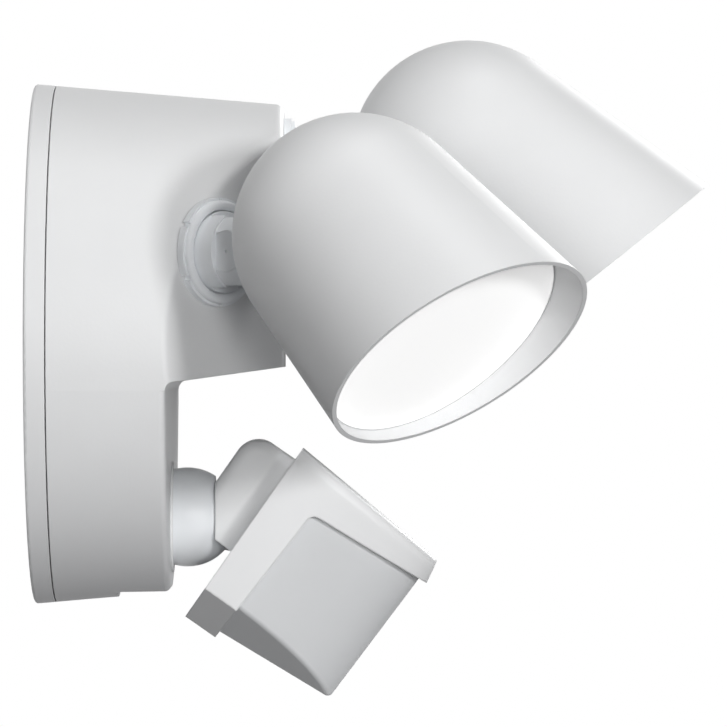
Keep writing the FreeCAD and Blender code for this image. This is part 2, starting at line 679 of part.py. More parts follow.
def head_knuckle():
    """Hinge centre seen from the dome centre, before the lamp is pitched down."""
    angle = math.radians(NECK_RISE_DEGREES + LAMP_PITCH_DEGREES)
    return Vector(0, DOME_REACH * math.cos(angle), -DOME_REACH * math.sin(angle))


def pocket(grow):
    """Room around the hinge cheeks, sunk into the back of the dome."""
    half = CHEEK_HALF_WIDTH + POCKET_GAP + grow
    return rod(CHEEK_RADIUS + POCKET_GAP + grow, 2 * half, head_knuckle() - RIGHT * half, RIGHT)


def in_lamp(shape):
    """Pitch a head piece down and carry it to the dome centre of its station."""
    placed = shape.copy()
    placed.rotate(Vector(), RIGHT, LAMP_PITCH_DEGREES)
    placed.translate(DOME_CENTRE)
    return placed


def make_shade():
    outer = shade_form(0, FAR)
    shell = outer.cut(shade_form(SHADE_WALL, FAR)).cut(beyond_plane(MOUTH_DISTANCE, MOUTH_SLANT_DEGREES))
    shell = shell.fuse(pocket(POCKET_WALL).common(shade_form(SHADE_WALL / 2, MOUTH_DISTANCE)))
    shell = shell.cut(pocket(0))
    knuckle = head_knuckle()
    half = CHEEK_HALF_WIDTH - CHEEK_THICKNESS - SLIP_GAP
    barrel = rod(TONGUE_BARREL_RADIUS, 2 * half, knuckle - RIGHT * half, RIGHT)
    reach = CHEEK_RADIUS + POCKET_GAP + POCKET_WALL / 2
    bar = block(-half, half, 0, -reach, -TONGUE_BAR_HEIGHT / 2, TONGUE_BAR_HEIGHT / 2)
    bar.rotate(Vector(), RIGHT, -NECK_RISE_DEGREES - LAMP_PITCH_DEGREES)
    bar.translate(knuckle)
    shell = shell.fuse(barrel).fuse(bar)
    bore = rod(HINGE_BOLT_RADIUS + RUN_GAP, 4 * half, knuckle - RIGHT * 2 * half, RIGHT)
    return shell.cut(bore).removeSplitter()


def make_heat_sink():
    room = shade_form(SHADE_WALL + SEAT_GAP, SINK_START + SINK_PLATE)
    plate = room.common(block(-FAR, FAR, -SINK_START, -FAR, -FAR, FAR))
    fin_room = shade_form(SHADE_WALL + FIN_CLEAR, SINK_START)
    for i in range(FIN_COUNT):
        x = (i - (FIN_COUNT - 1) / 2) * FIN_SPACING
        fin = block(x - FIN_THICKNESS / 2, x + FIN_THICKNESS / 2, -SINK_START,
                    -SINK_START + FIN_LENGTH, -FAR, FAR)
        plate = plate.fuse(fin.common(fin_room))
    return plate.cut(pocket(POCKET_WALL + SLIP_GAP)).removeSplitter()


def make_led_board():
    back = SINK_START + SINK_PLATE
    board = rod(LED_BOARD_RADIUS, LED_BOARD_THICKNESS, OUT * back, OUT)
    face = back + LED_BOARD_THICKNESS
    chips = []
    for i in range(LED_COUNT):
        angle = 2 * math.pi * i / LED_COUNT
        x = LED_RING_RADIUS * math.cos(angle)
        z = LED_RING_RADIUS * math.sin(angle)
        chips.append(block(x - LED_SIZE / 2, x + LED_SIZE / 2, -face, -face - LED_HEIGHT,
                           z - LED_SIZE / 2, z + LED_SIZE / 2))
    return group([board] + chips)


def make_reflector():
    back = SINK_START + SINK_PLATE
    near = LED_BOARD_RADIUS + SLIP_GAP
    far = near + REFLECTOR_SPREAD
    outer = Part.makeCone(near + REFLECTOR_WALL, far + REFLECTOR_WALL, REFLECTOR_DEPTH, OUT * back, OUT)
    return outer.cut(Part.makeCone(near, far, REFLECTOR_DEPTH, OUT * back, OUT))


def make_diffuser():
    form = shade_form(SHADE_WALL + LENS_SEAL_WIDTH, FAR)
    return slanted_slice(form, LENS_DISTANCE, LENS_SLANT_DEGREES, LENS_THICKNESS)


def make_lens_seal():
    form = shade_form(SHADE_WALL, FAR).cut(shade_form(SHADE_WALL + LENS_SEAL_WIDTH, FAR))
    return slanted_slice(form, LENS_DISTANCE, LENS_SLANT_DEGREES, LENS_THICKNESS)


# ---------------------------------------------------------------- sensor joint

def make_ball_seat():
    start = Vector(0, -LOWER_DEPTH - SEAT_RIM, BALL_Z)
    wide = rod(SEAT_OUTER_RADIUS, SEAT_RIM, start, IN)
    neck = rod(SEAT_NECK_RADIUS - SEAT_GAP, SEAT_DEPTH, start, IN)
    return wide.fuse(neck).cut(Part.makeSphere(BALL_RADIUS + RUN_GAP, BALL_CENTRE)).removeSplitter()


def make_bridge():
    """Cup behind the seat that the tension spring bears on."""
    start = Vector(0, -LOWER_DEPTH + HOUSING_WALL, BALL_Z)
    cup = rod(BRIDGE_RADIUS, BRIDGE_HEIGHT, start, IN)
    room = rod(BRIDGE_RADIUS - BRIDGE_WALL, BRIDGE_HEIGHT - BRIDGE_WALL, start, IN)
    bore = rod(BOLT_RADIUS + SLIP_GAP, FAR, BALL_CENTRE, IN)
    return cup.cut(room).cut(bore)


def bridge_back():
    return -LOWER_DEPTH + HOUSING_WALL + BRIDGE_HEIGHT


def make_tension_bolt():
    half = BOLT_BLOCK / 2
    eye = Part.makeSphere(half * math.sqrt(2), BALL_CENTRE).common(
        block(-half, half, BALL_CENTRE.y - half, BALL_CENTRE.y + half, BALL_Z - half, BALL_Z + half))
    end = bridge_back() + SPRING_LENGTH + TENSION_NUT_HEIGHT + BOLT_TAIL
    shank = rod(BOLT_RADIUS, end - BALL_CENTRE.y, BALL_CENTRE, IN)
    pins = rod(GIMBAL_PIN_RADIUS + RUN_GAP, FAR, BALL_CENTRE - UP * FAR / 2, UP)
    return eye.fuse(shank).cut(pins).removeSplitter()


def make_spring():
    pitch = (SPRING_LENGTH - 2 * SPRING_WIRE) / SPRING_TURNS
    helix = Part.makeHelix(pitch, pitch * SPRING_TURNS, SPRING_RADIUS - SPRING_WIRE)
    circle = Part.makeCircle(SPRING_WIRE, Vector(SPRING_RADIUS - SPRING_WIRE, 0, 0), IN)
    coil = Part.Wire(helix).makePipeShell([Part.Wire(circle)], True, True)
    coil.Placement = FreeCAD.Placement(Vector(0, bridge_back() + SPRING_WIRE, BALL_Z),
                                       FreeCAD.Rotation(UP, IN))
    return coil


def make_tension_nut():
    start = Vector(0, bridge_back() + SPRING_LENGTH, BALL_Z)
    nut = hexagon_rod(2 * TENSION_NUT_RADIUS * math.cos(math.radians(30)), TENSION_NUT_HEIGHT, start, IN)
    return nut.cut(rod(BOLT_RADIUS + RUN_GAP, FAR, BALL_CENTRE, IN))


def make_gimbal_ring():
    start = BALL_CENTRE - IN * (GIMBAL_THICKNESS / 2)
    inner = GIMBAL_OUTER_RADIUS - GIMBAL_WIDTH
    ring = tube(GIMBAL_OUTER_RADIUS, inner, GIMBAL_THICKNESS, start, IN)
    for direction in (UP, RIGHT):
        hole = rod(GIMBAL_PIN_RADIUS + RUN_GAP, FAR, BALL_CENTRE - direction * (FAR / 2), direction)
        ring = ring.cut(hole)
    return ring


def make_pan_pins():
    length = GIMBAL_OUTER_RADIUS - SLIP_GAP
    return group([rod(GIMBAL_PIN_RADIUS, length, BALL_CENTRE + UP * (side * SLIP_GAP), UP * side)
                  for side in (-1, 1)])


def make_tilt_pins():
    near = GIMBAL_OUTER_RADIUS - GIMBAL_WIDTH + SLIP_GAP
    length = BALL_RADIUS - BALL_WALL / 2 - near
    return group([rod(GIMBAL_PIN_RADIUS, length, BALL_CENTRE + RIGHT * (side * near), RIGHT * side)
                  for side in (-1, 1)])


def make_ball():
    inner = BALL_RADIUS - BALL_WALL
    ball = Part.makeSphere(BALL_RADIUS, BALL_CENTRE).cut(Part.makeSphere(inner, BALL_CENTRE))
    lug_start = GIMBAL_OUTER_RADIUS + SLIP_GAP
    for side in (-1, 1):
        lug = rod(BALL_LUG_RADIUS, inner + BITE - lug_start, BALL_CENTRE + RIGHT * (side * lug_start),
                  RIGHT * side)
        ball = ball.fuse(lug)
    pin_reach = BALL_RADIUS - BALL_WALL / 2
    ball = ball.cut(rod(GIMBAL_PIN_RADIUS + RUN_GAP, 2 * pin_reach, BALL_CENTRE - RIGHT * pin_reach, RIGHT))
    ball = ball.cut(rod(BALL_OPENING_RADIUS, BALL_RADIUS, BALL_CENTRE + IN * BALL_OPENING_DEPTH, IN))
    seam = neck_seam()
    above = in_sensor(block(-FAR, FAR, FAR, -FAR, REAR_BOTTOM - SEAT_GAP, FAR))
    beyond = above.fuse(neck_cone(SEAT_GAP)).cut(behind(seam))
    ball = ball.cut(beyond)
    floor = rod(inner, BALL_FLOOR, seam, IN).common(Part.makeSphere(BALL_RADIUS - BITE, BALL_CENTRE))
    spigot = rod(NECK_SPIGOT_RADIUS, NECK_SPIGOT_LENGTH + BALL_FLOOR, seam + IN * BALL_FLOOR, OUT)
    hole = rod(NECK_SPIGOT_RADIUS - NECK_SPIGOT_WALL, FAR, seam + IN * BALL_FLOOR, OUT)
    return ball.fuse(floor).fuse(spigot).cut(hole).removeSplitter()


def neck_seam():
    """Centre of the flat joint between the ball and the neck of the rear shell."""
    return BALL_CENTRE + OUT * NECK_SEAM


def behind(point):
    """Everything on the wall's side of an upright plane through a point."""
    return block(-FAR, FAR, point.y, FAR, -FAR, FAR)


def neck_cone(grow):
    return Part.makeCone(NECK_RADIUS + grow, NECK_FLARE_RADIUS + grow, NECK_LENGTH, neck_seam(), OUT)


# ---------------------------------------------------------------- sensor body

def in_sensor(shape):
    """Pitch a level sensor piece down about the ball centre and carry it there."""
    placed = shape.copy()
    placed.rotate(Vector(), RIGHT, SENSOR_PITCH_DEGREES)
    placed.translate(BALL_CENTRE)
    return placed


def plan_form(half_width, tip, straight_from):
    """Upright form whose plan is straight at the sides and a half ellipse at the front."""
    long_radius = tip - straight_from
    ellipse = Part.Ellipse(Vector(0, -tip, 0), Vector(half_width, -straight_from, 0), Vector(0, -straight_from, 0))
    if half_width > long_radius:
        ellipse = Part.Ellipse(Vector(half_width, -straight_from, 0), Vector(0, -tip, 0),
                               Vector(0, -straight_from, 0))
    front = Part.Face(Part.Wire(ellipse.toShape())).extrude(UP * (2 * FAR))
    front.translate(UP * -FAR)
    back = block(-half_width, half_width, FAR, -straight_from, -FAR, FAR)
    return front.fuse(back)


def keel_form(half_width, bottom, inset):
    """Everything above the two planes that rise from the keel to the sides."""
    rise = KEEL_RISE / COVER_HALF_WIDTH * half_width
    corners = [Vector(-half_width, FAR, FAR), Vector(half_width, FAR, FAR),
               Vector(half_width, FAR, bottom + rise + inset), Vector(0, FAR, bottom + inset),
               Vector(-half_width, FAR, bottom + rise + inset)]
    return Part.Face(Part.makePolygon(corners + [corners[0]])).extrude(OUT * (2 * FAR))


def cover_form(inset):
    """Outside of the cover: a band round the lens with a visor over it."""
    half = COVER_HALF_WIDTH - inset
    profile = [(COVER_BACK, COVER_TOP - inset), (VISOR_REACH - VISOR_LEAN - inset, VISOR_FRONT_TOP - inset),
               (VISOR_REACH - inset, VISOR_UNDER_FRONT), (LENS_PLAN_START + WINDOW_LEAN, VISOR_UNDER_BACK),
               (LENS_PLAN_START, COVER_BOTTOM + inset), (COVER_BACK, COVER_BOTTOM + inset)]
    form = side_prism(profile, FAR)
    form = form.common(plan_form(half, VISOR_REACH + TIP_CUT - inset, PLAN_STRAIGHT_END))
    return form.common(keel_form(half, COVER_BOTTOM, inset))


def make_cover():
    outer = cover_form(0)
    outer = rounded(outer, VISOR_ROUND, lambda edge: edge.BoundBox.ZMin > VISOR_FRONT_TOP - 0.5
                    and edge.BoundBox.YMax < -COVER_BACK + 0.5 and edge.BoundBox.YLength > 1.0)
    outer = rounded(outer, WINDOW_ROUND, lambda edge: edge.BoundBox.XLength > COVER_HALF_WIDTH
                    and edge.BoundBox.YLength < 0.1
                    and abs(edge.BoundBox.ZMin - VISOR_UNDER_BACK) < 0.01)
    ceiling = COVER_TOP - COVER_WALL
    mouth = LENS_TIP + SLIP_GAP
    room = side_prism([(COVER_BACK - BITE, ceiling), (mouth, VISOR_FRONT_TOP - COVER_WALL),
                       (mouth, VISOR_UNDER_BACK), (FAR, -FAR), (COVER_BACK - BITE, -FAR)], FAR)
    room = room.common(plan_form(COVER_HALF_WIDTH - COVER_WALL, LENS_TIP + 2 * SLIP_GAP, PLAN_STRAIGHT_END))
    room = room.common(keel_form(COVER_HALF_WIDTH - COVER_WALL, COVER_BOTTOM, COVER_WALL))
    cover = outer.cut(room)
    boss_back = COVER_BACK + BACK_PANEL + SEAT_GAP
    boss_front = COVER_BACK + HEAD_SINK + COVER_SCREW_LENGTH
    for x, z in cover_screw_places():
        wall_x = math.copysign(COVER_HALF_WIDTH - COVER_WALL / 2, x)
        boss = block(x - math.copysign(COVER_BOSS_RADIUS, x), wall_x, -boss_back, -boss_front,
                     z - COVER_BOSS_RADIUS, z + COVER_BOSS_RADIUS)
        hole = rod(COVER_SCREW_RADIUS + RUN_GAP, FAR, Vector(x, 0, z), OUT)
        cover = cover.fuse(boss.cut(hole))
    return cover.removeSplitter()


def fresnel_form(inset, back):
    """Lens outline with its keel edges rounded; the flange end at the back stays square."""
    half = COVER_HALF_WIDTH - COVER_WALL - SEAT_GAP - inset
    top = VISOR_UNDER_BACK + LENS_TUCK - inset
    bottom = COVER_BOTTOM + COVER_WALL + SEAT_GAP
    profile = [(back, top), (LENS_TIP - inset, top), (LENS_TIP - inset, VISOR_UNDER_BACK),
               (LENS_TIP_BOTTOM - inset, LENS_BOTTOM_FRONT + inset), (back, bottom + inset)]
    form = side_prism(profile, FAR)
    form = form.common(plan_form(half, LENS_TIP + TIP_CUT / 4 - inset, PLAN_STRAIGHT_END))
    form = form.common(keel_form(half, bottom, inset))
    return rounded(form, KEEL_ROUND - inset, lambda edge: edge.BoundBox.YMin < -back - BITE
                   and edge.BoundBox.ZMax < VISOR_UNDER_BACK - KEEL_RISE)


def make_fresnel():
    back = LENS_PLAN_START - FRESNEL_FLANGE
    return fresnel_form(0, back).cut(fresnel_form(FRESNEL_WALL, back - BITE))


def rear_box(inset):
    """Box form behind the cover, its top back edge rounded more than the side ones."""
    half = REAR_HALF_WIDTH - inset
    wide = REAR_FLARE_HALF_WIDTH - inset
    back = REAR_BACK + inset
    top = REAR_TOP - inset
    bend = COVER_BACK - REAR_FLARE_LENGTH
    corners = [Vector(x, -out, REAR_BOTTOM + inset) for x, out in (
        (-half, back), (-half, bend), (-wide, COVER_BACK), (wide, COVER_BACK), (half, bend), (half, back))]
    form = Part.Face(Part.makePolygon(corners + [corners[0]])).extrude(UP * (top - REAR_BOTTOM - inset))
    form = rounded(form, REAR_FLARE_ROUND, lambda edge: edge.BoundBox.ZLength > REAR_ROUND
                   and edge.BoundBox.YLength < 0.01 and abs(edge.BoundBox.YMin + bend) < 0.01)
    form = rounded(form, REAR_ROUND - inset, lambda edge: edge.BoundBox.YMin > -back - 0.01
                   and edge.BoundBox.ZMin > top - 0.01)
    return rounded(form, REAR_SIDE_ROUND - inset, lambda edge: edge.BoundBox.XLength < 0.01
                   and edge.BoundBox.ZLength > REAR_ROUND and edge.BoundBox.YMin > -back - 0.01
                   or edge.BoundBox.XLength < 0.01 and edge.BoundBox.ZMin > top - 0.01)


def make_rear_shell():
    half = REAR_FLARE_HALF_WIDTH - REAR_WALL
    opening = block(-half, half, -COVER_BACK, -FAR, REAR_BOTTOM + REAR_WALL, REAR_TOP - REAR_WALL)
    panel = cover_form(COVER_WALL + SEAT_GAP).common(
        block(-FAR, FAR, -COVER_BACK, -COVER_BACK - BACK_PANEL, -FAR, FAR))
    room = in_sensor(rear_box(REAR_WALL).fuse(opening))
    shell = in_sensor(rear_box(0).fuse(panel))
    seam = neck_seam()
    room = room.cut(behind(seam + OUT * REAR_WALL))
    neck = neck_cone(0).common(in_sensor(block(-FAR, FAR, FAR, -COVER_BACK - BACK_PANEL, -FAR, FAR)))
    shell = shell.fuse(neck).cut(room)
    shell = shell.cut(rod(NECK_SPIGOT_RADIUS + RUN_GAP, NECK_SPIGOT_LENGTH + SLIP_GAP, seam, OUT))
    shell = shell.cut(rod(NECK_SPIGOT_RADIUS - NECK_SPIGOT_WALL, FAR, seam, OUT))
    shell = shell.cut(behind(seam))
    for x in (-KNOB_X, KNOB_X):
        hole = rod(KNOB_RADIUS + SEAT_GAP, 3 * BACK_PANEL, Vector(x, -COVER_BACK + BACK_PANEL, KNOB_Z), OUT)
        shell = shell.cut(in_sensor(hole))
    for x, z in cover_screw_places():
        shell = shell.cut(in_sensor(rod(COVER_SCREW_RADIUS + SLIP_GAP, FAR, Vector(x, 0, z), OUT)))
        well = rod(COVER_SCREW_HEAD + SLIP_GAP, FAR, Vector(x, -COVER_BACK - HEAD_SINK, z), IN)
        shell = shell.cut(in_sensor(well))
    return shell.removeSplitter()


def cover_screw_places():
    return [(side * COVER_SCREW_X, COVER_SCREW_Z) for side in (-1, 1)]


def make_sensor_board():
    front = SENSOR_BOARD_BACK + BOARD_THICKNESS
    half = SENSOR_BOARD_Z / 2
    board = block(-SENSOR_BOARD_X / 2, SENSOR_BOARD_X / 2, -SENSOR_BOARD_BACK, -front,
                  SENSOR_BOARD_LIFT - half, SENSOR_BOARD_LIFT + half)
    spacers = []
    for x in (-SPACER_X, SPACER_X):
        spacers.append(rod(SPACER_RADIUS, SENSOR_BOARD_BACK - COVER_BACK - BACK_PANEL,
                           Vector(x, -COVER_BACK - BACK_PANEL, SPACER_Z), OUT))
    return group([board] + spacers)


def make_element():
    start = OUT * (SENSOR_BOARD_BACK + BOARD_THICKNESS)
    return rod(ELEMENT_RADIUS, ELEMENT_HEIGHT, start, OUT)


def make_knob(x):
    start = Vector(x, -COVER_BACK - KNOB_SINK, KNOB_Z)
    knob = rod(KNOB_RADIUS, KNOB_HEIGHT, start, OUT)
    half = KNOB_SLOT / 2
    slot = block(x - half, x + half, start.y, start.y - KNOB_SLOT, KNOB_Z - half, KNOB_Z + KNOB_RADIUS)
    return knob.cut(slot)


def make_cover_screws():
    screws = []
    for x, z in cover_screw_places():
        screws.append(pan_screw(COVER_SCREW_RADIUS, COVER_SCREW_LENGTH, COVER_SCREW_HEAD,
                                COVER_SCREW_HEAD_HEIGHT, Vector(x, -COVER_BACK - HEAD_SINK, z), OUT))
    return group(screws)


# ---------------------------------------------------------------- all pieces

def main():
    os.makedirs("parts", exist_ok=True)
    save("back_plate", make_back_plate())
    save("wall_gasket", make_gasket())
    save("mounting_crossbar", make_crossbar())
    save("canopy_screws", make_canopy_screws())
    save("ground_screw", make_ground_screw())
    save("wire_grommet", make_grommet())
    save("housing_shell", make_housing())
    save("housing_screw", make_housing_screw())
    save("driver_board", make_driver_board())
    save("driver_parts", make_driver_parts())
    save("board_screws", make_board_screws())
    save("collar_rings", at_all_stations(make_collar()))
    save("swivel_seals", at_all_stations(make_swivel_seal()))
    lamp_pieces = {
        "arm": make_arm(),
        "swivel_nut": make_swivel_nut(),
        "hinge_bolt": group([make_hinge_bolt(), make_hinge_nut()]),
        "bolt_cap": make_bolt_cap(),
        "shade": in_lamp(make_shade()),
        "heat_sink": in_lamp(make_heat_sink()),
        "led_board": in_lamp(make_led_board()),
        "reflector": in_lamp(make_reflector()),
        "diffuser": in_lamp(make_diffuser()),
        "lens_seal": in_lamp(make_lens_seal()),
    }
    for station in STATIONS:
        for name, shape in lamp_pieces.items():
            save(station + "_" + name, at_station(shape, station))
    save("ball_seat", make_ball_seat())
    save("spring_bridge", make_bridge())
    save("tension_bolt", make_tension_bolt())
    save("tension_spring", make_spring())
    save("tension_nut", make_tension_nut())
    save("gimbal_ring", make_gimbal_ring())
    save("pan_pins", make_pan_pins())
    save("tilt_pins", make_tilt_pins())
    save("sensor_ball", make_ball())
    save("sensor_rear_shell", make_rear_shell())
    save("sensor_cover", in_sensor(make_cover()))
    save("fresnel_lens", in_sensor(make_fresnel()))
    save("sensor_board", in_sensor(make_sensor_board()))
    save("infrared_element", in_sensor(make_element()))
    save("range_knob", in_sensor(make_knob(-KNOB_X)))
    save("time_knob", in_sensor(make_knob(KNOB_X)))
    save("cover_screws", in_sensor(make_cover_screws()))


main()
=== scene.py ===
import bpy
import bmesh
import math
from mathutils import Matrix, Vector

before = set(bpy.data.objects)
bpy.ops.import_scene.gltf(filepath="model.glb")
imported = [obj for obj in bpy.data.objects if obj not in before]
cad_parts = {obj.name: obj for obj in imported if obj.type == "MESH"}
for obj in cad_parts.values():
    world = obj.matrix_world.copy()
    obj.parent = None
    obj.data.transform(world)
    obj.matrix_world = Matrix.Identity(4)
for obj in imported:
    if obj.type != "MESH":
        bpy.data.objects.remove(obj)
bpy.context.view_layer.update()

# ---------------------------------------------------------------- viewpoint
# The light is seen square from its left side, level with its middle, from a little over two
# metres away. The view width is what the picture takes in at the middle of the light.
view_distance = 2.2
view_width = 0.2451
view_depth = -0.1104
view_height = -0.0066
view_reach = 50.0
film_width = 36.0
camera_data = bpy.data.cameras.new("side_view")
camera_data.sensor_width = film_width
camera_data.lens = film_width * view_distance / view_width
camera_data.clip_end = view_reach
camera = bpy.data.objects.new("side_view", camera_data)
camera.location = (-view_distance, view_depth, view_height)
camera.rotation_euler = (math.pi / 2, 0.0, -math.pi / 2)
bpy.context.collection.objects.link(camera)
bpy.context.scene.camera = camera
bpy.context.scene.view_settings.view_transform = "Standard"

# ---------------------------------------------------------------- studio light
# Softboxes round the viewer, one of them low, one overhead, and one each for the far side and
# the back, with a faint even surround. The right one is small, so its shadows are crisper.
# Each has its place and the length of its side in metres, and its power in watts.
softboxes = {
    "left_softbox": ((-1.87, 0.77, 0.36), 0.6, 5.5),
    "middle_softbox": ((-2.07, -0.43, 0.15), 0.4, 13.0),
    "right_softbox": ((-1.81, -1.11, 0.33), 0.25, 18.0),
    "low_softbox": ((-1.52, -1.16, -0.99), 0.6, 2.5),
    "overhead_softbox": ((-0.26, -0.36, 2.07), 0.6, 15.0),
    "far_side_softbox": ((1.70, -0.95, 0.60), 0.6, 15.0),
    "back_softbox": ((0.85, 1.85, 0.60), 0.6, 5.0),
}
aim_point = Vector((0.0, -0.1, 0.0))
for name, (place, size, power) in softboxes.items():
    lamp = bpy.data.lights.new(name, "AREA")
    lamp.shape = "SQUARE"
    lamp.size = size
    lamp.energy = power
    softbox = bpy.data.objects.new(name, lamp)
    softbox.location = place
    aim = aim_point - Vector(place)
    softbox.rotation_euler = aim.to_track_quat("-Z", "Y").to_euler()
    bpy.context.collection.objects.link(softbox)


def seen_share(tree):
    """Socket that is 1 where the viewer sees the surface, directly, mirrored or through another."""
    path = tree.nodes.new("ShaderNodeLightPath")
    direct = tree.nodes.new("ShaderNodeMath")
    direct.operation = "MAXIMUM"
    either = tree.nodes.new("ShaderNodeMath")
    either.operation = "MAXIMUM"
    tree.links.new(path.outputs["Is Camera Ray"], direct.inputs[0])
    tree.links.new(path.outputs["Is Glossy Ray"], direct.inputs[1])
    tree.links.new(direct.outputs[0], either.inputs[0])
    tree.links.new(path.outputs["Is Transmission Ray"], either.inputs[1])
    return either.outputs[0]


surround = bpy.data.worlds.new("surround")
bpy.context.scene.world = surround
surround.use_nodes = True
sky = surround.node_tree
sky.nodes.clear()
faint = sky.nodes.new("ShaderNodeBackground")
faint.inputs["Color"].default_value = (0.96, 0.98, 1.0, 1.0)
faint.inputs["Strength"].default_value = 0.03
white = sky.nodes.new("ShaderNodeBackground")
white.inputs["Color"].default_value = (1.0, 1.0, 1.0, 1.0)
white.inputs["Strength"].default_value = 1.0
sky_mix = sky.nodes.new("ShaderNodeMixShader")
sky_out = sky.nodes.new("ShaderNodeOutputWorld")
sky.links.new(seen_share(sky), sky_mix.inputs["Fac"])
sky.links.new(faint.outputs[0], sky_mix.inputs[1])
sky.links.new(white.outputs[0], sky_mix.inputs[2])
sky.links.new(sky_mix.outputs[0], sky_out.inputs["Surface"])

# ---------------------------------------------------------------- floor
# A plain matt floor well below the wall light. It shows white to the viewer and in
# reflections, with the light's own soft shadow left on it.
floor_height = -1.6
floor_reach = 9.0
floor_form = bmesh.new()
bmesh.ops.create_grid(floor_form, x_segments=1, y_segments=1, size=floor_reach)
bmesh.ops.translate(floor_form, verts=floor_form.verts, vec=(0.0, 0.0, floor_height))
floor_mesh = bpy.data.meshes.new("floor")
floor_form.to_mesh(floor_mesh)
floor_form.free()
floor = bpy.data.objects.new("floor", floor_mesh)
bpy.context.collection.objects.link(floor)
pale = bpy.data.materials.new("pale_floor")
pale.use_nodes = True
ground = pale.node_tree
ground.nodes.clear()
matt = ground.nodes.new("ShaderNodeBsdfDiffuse")
matt.inputs["Color"].default_value = (0.20, 0.20, 0.21, 1.0)
glow = ground.nodes.new("ShaderNodeEmission")
glow.inputs["Color"].default_value = (1.0, 1.0, 1.0, 1.0)
glow.inputs["Strength"].default_value = 0.95
shown = ground.nodes.new("ShaderNodeAddShader")
floor_mix = ground.nodes.new("ShaderNodeMixShader")
floor_out = ground.nodes.new("ShaderNodeOutputMaterial")
ground.links.new(seen_share(ground), floor_mix.inputs["Fac"])
ground.links.new(matt.outputs[0], floor_mix.inputs[1])
ground.links.new(matt.outputs[0], shown.inputs[0])
ground.links.new(glow.outputs[0], shown.inputs[1])
ground.links.new(shown.outputs[0], floor_mix.inputs[2])
ground.links.new(floor_mix.outputs[0], floor_out.inputs["Surface"])
floor_mesh.materials.append(pale)

# ---------------------------------------------------------------- housing and back plate
# Die-cast aluminium shell and plate, powder coated in satin white. The coat has a fine
# orange-peel skin and a very slight unevenness of tone.


def finish(name, colour, roughness, metallic=0.0, skin=0.0, skin_size=0.001, skin_rise=0.1,
           drift=0.02, rough_drift=0.04, coat=0.0, specular=0.25, edge=0.0003):
    """Surface with an uneven tone and gloss, softened edges and, if asked for, a fine raised skin.

    The skin's height is its grain size times skin_rise; drift and rough_drift are how far tone
    and roughness wander from the values given.
    """
    made = bpy.data.materials.new(name)
    made.use_nodes = True
    tree = made.node_tree
    shader = tree.nodes["Principled BSDF"]
    place = tree.nodes.new("ShaderNodeTexCoord")
    cloud = tree.nodes.new("ShaderNodeTexNoise")
    cloud.inputs["Scale"].default_value = 22.0
    cloud.inputs["Detail"].default_value = 4.0
    tree.links.new(place.outputs["Object"], cloud.inputs["Vector"])
    tone = tree.nodes.new("ShaderNodeValToRGB")
    low = [part * (1.0 - drift) for part in colour]
    high = [part * (1.0 + drift) for part in colour]
    tone.color_ramp.elements[0].position = 0.3
    tone.color_ramp.elements[0].color = (*low, 1.0)
    tone.color_ramp.elements[1].position = 0.7
    tone.color_ramp.elements[1].color = (*high, 1.0)
    tree.links.new(cloud.outputs["Fac"], tone.inputs["Fac"])
    tree.links.new(tone.outputs["Color"], shader.inputs["Base Color"])
    gloss = tree.nodes.new("ShaderNodeMapRange")
    gloss.inputs["To Min"].default_value = roughness - rough_drift
    gloss.inputs["To Max"].default_value = roughness + rough_drift
    tree.links.new(cloud.outputs["Fac"], gloss.inputs["Value"])
    tree.links.new(gloss.outputs["Result"], shader.inputs["Roughness"])
    soft_edge = tree.nodes.new("ShaderNodeBevel")
    soft_edge.samples = 6
    soft_edge.inputs["Radius"].default_value = edge
    normal = soft_edge.outputs["Normal"]
    if skin:
        grain = tree.nodes.new("ShaderNodeTexNoise")
        grain.inputs["Scale"].default_value = 1.0 / skin_size
        grain.inputs["Detail"].default_value = 2.0
        tree.links.new(place.outputs["Object"], grain.inputs["Vector"])
        raised = tree.nodes.new("ShaderNodeBump")
        raised.inputs["Strength"].default_value = skin
        raised.inputs["Distance"].default_value = skin_size * skin_rise
        tree.links.new(grain.outputs["Fac"], raised.inputs["Height"])
        tree.links.new(normal, raised.inputs["Normal"])
        normal = raised.outputs["Normal"]
    tree.links.new(normal, shader.inputs["Normal"])
    shader.inputs["Metallic"].default_value = metallic
    shader.inputs["Specular IOR Level"].default_value = specular
    shader.inputs["Coat Weight"].default_value = coat
    return made


def dress(node, material):
    """Give one carried-over node its finish."""
    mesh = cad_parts[node].data
    mesh.materials.clear()
    mesh.materials.append(material)


powder_white = finish("powder_white", (0.77, 0.775, 0.78), 0.48, skin=0.25, skin_size=0.0011)
dress("housing_shell", powder_white)
dress("back_plate", powder_white)

# ---------------------------------------------------------------- wall fixing
# Zinc plated steel crossbar, stainless canopy and housing screws, a green ground screw, and
# black rubber for the wall gasket and for the grommet that the supply wires pass through.
zinc_plate = finish("zinc_plate", (0.55, 0.55, 0.53), 0.34, metallic=1.0, skin=0.15,
                    skin_size=0.002, drift=0.10, rough_drift=0.08)
stainless = finish("stainless", (0.62, 0.62, 0.61), 0.24, metallic=1.0, drift=0.05, rough_drift=0.06)
green_coat = finish("green_coat", (0.03, 0.22, 0.06), 0.35, drift=0.06)
black_rubber = finish("black_rubber", (0.022, 0.022, 0.023), 0.78, skin=0.4, skin_size=0.0016,
                      drift=0.2)
dress("mounting_crossbar", zinc_plate)
dress("canopy_screws", stainless)
dress("ground_screw", green_coat)
dress("wall_gasket", black_rubber)
dress("wire_grommet", black_rubber)
dress("housing_screw", stainless)

